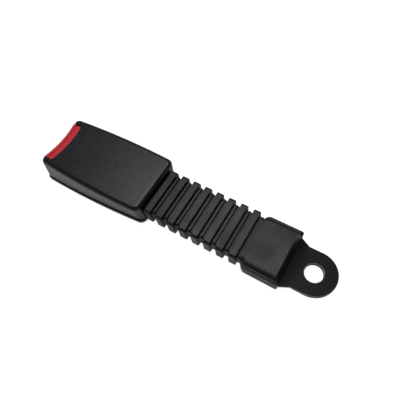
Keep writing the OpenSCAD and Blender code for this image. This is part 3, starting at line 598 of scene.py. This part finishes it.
# Buckle covers: two mouldings in black plastic with a fine spark-eroded grain, 2 mm thick, that
# snap together at a shadow gap low on the sides. Both are drawn from one box with bowed sides.
COVER_PLASTIC = finish("grained plastic", (0.0068, 0.0073, 0.0088), (0.0095, 0.01, 0.0114),
                       roughness=0.3, grain=1600, depth=0.29, specular=0.41, mottle=45, rub=70,
                       rub_strength=0.06, spread=0.06)
front_x, top_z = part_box("upper_cover")[1].x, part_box("upper_cover")[1].z
split_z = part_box("lower_cover")[1].z
wall = 2 * MM
half_at_split, half_at_shoulder = 25 * MM, 24 * MM
side_bow, low_bow_x, high_bow_x = 690 * MM, front_x - 24 * MM, rear_x + 32 * MM
rear_corner, front_corner = 4.5 * MM, 3.2 * MM


def bowed(half, bow_x, x):
    """Half width of the buckle at x, where its side is an arc about bow_x."""
    return half - (side_bow - math.sqrt(side_bow ** 2 - (x - bow_x) ** 2))


def covered_box(name, low_z, high_z, low_half, high_half, low_bow, high_bow, inset=0.0):
    """A box as long as the buckle, whose sides are bowed by sliding the corners of each slice."""
    rear, front = rear_x + inset, front_x - inset
    piece = box_cutter((rear, -low_half, low_z), (front, low_half, high_z))
    piece.name = name
    open_mesh(piece)
    pick("EDGE", lambda e: not same(e.verts[0].co.x, e.verts[1].co.x))
    bpy.ops.mesh.subdivide(number_cuts=17)
    places = sorted({round(v.co.x, 6) for v in bmesh.from_edit_mesh(piece.data).verts})
    for x in places:
        for z, half, bow in ((low_z, low_half, low_bow), (high_z, high_half, high_bow)):
            pick("VERT", lambda v: same(v.co.x, x) and same(v.co.z, z))
            bpy.ops.transform.resize(value=(1, bowed(half, bow, x) / low_half, 1),
                                     center_override=(x, 0, z))
    for end, radius in ((rear, rear_corner), (front, front_corner)):
        pick("EDGE", lambda e: not same(e.verts[0].co.z, e.verts[1].co.z)
             and same(e.verts[0].co.x, end))
        bpy.ops.mesh.bevel(offset=radius - inset, segments=7, affect="EDGES")
    close_mesh()
    return piece


def round_rim(piece, z, radius, steps):
    """Rounds the edges that run round the level z, where the sides meet the flat face."""
    open_mesh(piece)
    pick("EDGE", lambda e: all(same(v.co.z, z) for v in e.verts)
         and any(abs(f.normal.z) < 0.6 for f in e.link_faces))
    bpy.ops.mesh.bevel(offset=radius, segments=steps, affect="EDGES", clamp_overlap=False)
    close_mesh()


def break_edges(piece, width, steps=2):
    """Rounds every sharp edge a little and shades the rest smooth."""
    finish_with(piece, "BEVEL", "broken edges", width=width, segments=steps, limit_method="ANGLE",
                angle_limit=math.radians(30), miter_outer="MITER_ARC")
    shade_crisp(piece, angle=40)


def neck_hole(top):
    """Cuts the rear wall open for the boot's neck, as far up as the given level."""
    half, low, deep = 15.8 * MM, -0.25 * MM, 3 * MM
    return box_cutter((rear_x - past, -half, low), (rear_x + deep, half, top))


# Lower cover: the shallow tray that the frame lies in. Its rim shows as a thin lip under the
# shadow gap, and the part rests on its flat underside.
lip_out, button_half, ear_x = 0.8 * MM, 17.5 * MM, front_x - 15 * MM
floor_top = ground + 2 * MM
lip_half, room_half = half_at_split + lip_out, half_at_split - wall
well_past, beside = 5 * MM, 30 * MM
lower = covered_box("lower_shell", ground, split_z, lip_half, lip_half, low_bow_x, low_bow_x)
round_rim(lower, ground, radius=0.8 * MM, steps=4)
room = covered_box("room", floor_top, split_z + past, room_half, room_half, low_bow_x, low_bow_x,
                   inset=wall)
cut_away(room, *(box_cutter((ear_x, side * button_half, ground),
                            (front_x, side * beside, split_z + 2 * past)) for side in (-1, 1)))
mouth = box_cutter((ear_x, -button_half, floor_top),
                   (front_x + well_past, button_half, split_z + well_past))
cut_away(lower, room, mouth, neck_hole(top=20 * MM))
break_edges(lower, width=0.35 * MM, steps=3)
build_in(lower, "housing", "cover_plastic", COVER_PLASTIC, "lower_cover")


# Upper cover: the hood over the works. Its edge behind the button is an arc, and two ears run
# forward beside the button. A thinner lip under its rim makes the shadow gap.
def arc_depth(half_chord, radius):
    """How deep an arc is between the ends of its chord."""
    return (2 * half_chord) ** 2 / 8 / radius


shadow, gap_deep = 0.7 * MM, 1.1 * MM
upper = covered_box("upper_shell", split_z + shadow, top_z, half_at_split, half_at_shoulder,
                    low_bow_x, high_bow_x)
round_rim(upper, top_z, radius=3 * MM, steps=6)
open_mesh(upper)
pick("FACE", lambda f: f.normal.z < -0.9)
bpy.ops.mesh.inset(thickness=gap_deep, depth=0)
bpy.ops.mesh.extrude_region_move(TRANSFORM_OT_translate={"value": (0, 0, -shadow)})
pick("FACE", lambda f: f.normal.z < -0.9 and same(f.calc_center_median().z, split_z))
bpy.ops.mesh.delete(type="ONLY_FACE")
close_mesh()
finish_with(upper, "SOLIDIFY", "wall", thickness=wall - gap_deep, offset=-1, use_even_offset=True)
cover_arc, ear_reach, button_play = 70 * MM, 8.5 * MM, 0.2 * MM
arc_edge_x = front_x - ear_reach - arc_depth(button_half - button_play, cover_arc)
ceiling = top_z - wall
throat = box_cutter((ear_x, -button_half, split_z - past),
                    (front_x + well_past, button_half, ceiling + 0.1 * MM))
bpy.ops.mesh.primitive_cylinder_add(vertices=256, radius=cover_arc, depth=6 * MM,
                                    location=(arc_edge_x + cover_arc, 0, top_z))
arc_cut = bpy.context.object
bpy.ops.object.transform_apply(location=True, rotation=True, scale=True)
side_trim = box_cutter((arc_edge_x - 2 * well_past, -button_half, ceiling - 2 * past),
                       (front_x + 4 * well_past, button_half, top_z + well_past))
finish_with(arc_cut, "BOOLEAN", "cut", operation="INTERSECT", solver="EXACT", object=side_trim)
bpy.data.objects.remove(side_trim)
cut_away(upper, throat, arc_cut, neck_hole(top=groove_top + 0.3 * MM))
break_edges(upper, width=0.25 * MM)
build_in(upper, "housing", "cover_plastic", COVER_PLASTIC, "upper_cover")


# Mouth guide: one moulding in smooth black plastic, held between the covers, with a funnel that
# leads the tongue in.
GUIDE_PLASTIC = finish("smooth plastic", (0.008, 0.008, 0.009), (0.012, 0.012, 0.013),
                       roughness=0.35, grain=700, depth=0.05)
mouth_guide = copy_of("mouth_guide", "tongue_guide")
break_edges(mouth_guide, width=0.2 * MM)
build_in(mouth_guide, "housing", "guide_plastic", GUIDE_PLASTIC, "mouth_guide")


# Press button: one moulding in red plastic with a satin top. Its front edge is hollow, and a
# valley runs along that edge, so that a thumb finds it. Two cam arms reach back beside the frame.
RED_PLASTIC = finish("red plastic", (0.73, 0.018, 0.032), (0.79, 0.024, 0.038),
                     roughness=0.45, grain=1300, depth=0.08, mottle=70, rub_strength=0.05,
                     spread=0.08)


def paint_valley_shade(material, centre_x, radius, half_width, shade_colour):
    """Paints shade into the valley, which is a circle about a point far in front: a band there is
    made darker and duller.
    """
    nodes, links = material.node_tree.nodes, material.node_tree.links
    colour_in = nodes["Principled BSDF"].inputs["Base Color"]
    rough_in = nodes["Principled BSDF"].inputs["Roughness"]
    place = nodes.new("ShaderNodeTexCoord")
    flat = nodes.new("ShaderNodeMapping")
    flat.inputs["Location"].default_value = (-centre_x, 0, 0)
    flat.inputs["Scale"].default_value = (1, 1, 0)
    links.new(place.outputs["Object"], flat.inputs["Vector"])
    reach = nodes.new("ShaderNodeVectorMath")
    reach.operation = "LENGTH"
    links.new(flat.outputs["Vector"], reach.inputs[0])
    off = nodes.new("ShaderNodeMath")
    off.operation = "SUBTRACT"
    off.inputs[1].default_value = radius
    links.new(reach.outputs["Value"], off.inputs[0])
    near = nodes.new("ShaderNodeMath")
    near.operation = "ABSOLUTE"
    links.new(off.outputs[0], near.inputs[0])
    band = nodes.new("ShaderNodeMapRange")
    band.inputs["From Max"].default_value = half_width
    band.inputs["To Min"].default_value = 1
    band.inputs["To Max"].default_value = 0
    links.new(near.outputs[0], band.inputs["Value"])
    valley_shade = nodes.new("ShaderNodeMix")
    valley_shade.data_type = "RGBA"
    valley_shade.inputs["B"].default_value = (*shade_colour, 1)
    links.new(band.outputs["Result"], valley_shade.inputs["Factor"])
    links.new(colour_in.links[0].from_socket, valley_shade.inputs["A"])
    links.new(valley_shade.outputs["Result"], colour_in)
    dull = nodes.new("ShaderNodeMix")
    dull.inputs["B"].default_value = 1
    links.new(band.outputs["Result"], dull.inputs["Factor"])
    links.new(rough_in.links[0].from_socket, dull.inputs["A"])
    links.new(dull.outputs["Result"], rough_in)


button_arc = 70 * MM
button_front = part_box("press_button")[1].x
button_arc_x = button_front - arc_depth(button_half - button_play, button_arc) + button_arc
button = copy_of("press_button", "release_button")
# The valley's darker, duller band is painted shade.
paint_valley_shade(RED_PLASTIC, button_arc_x, radius=button_arc + 2 * MM, half_width=1 * MM,
              shade_colour=(0.42, 0.006, 0.012))
break_edges(button, width=0.25 * MM)
build_in(button, "button", "red_plastic", RED_PLASTIC, "press_button")
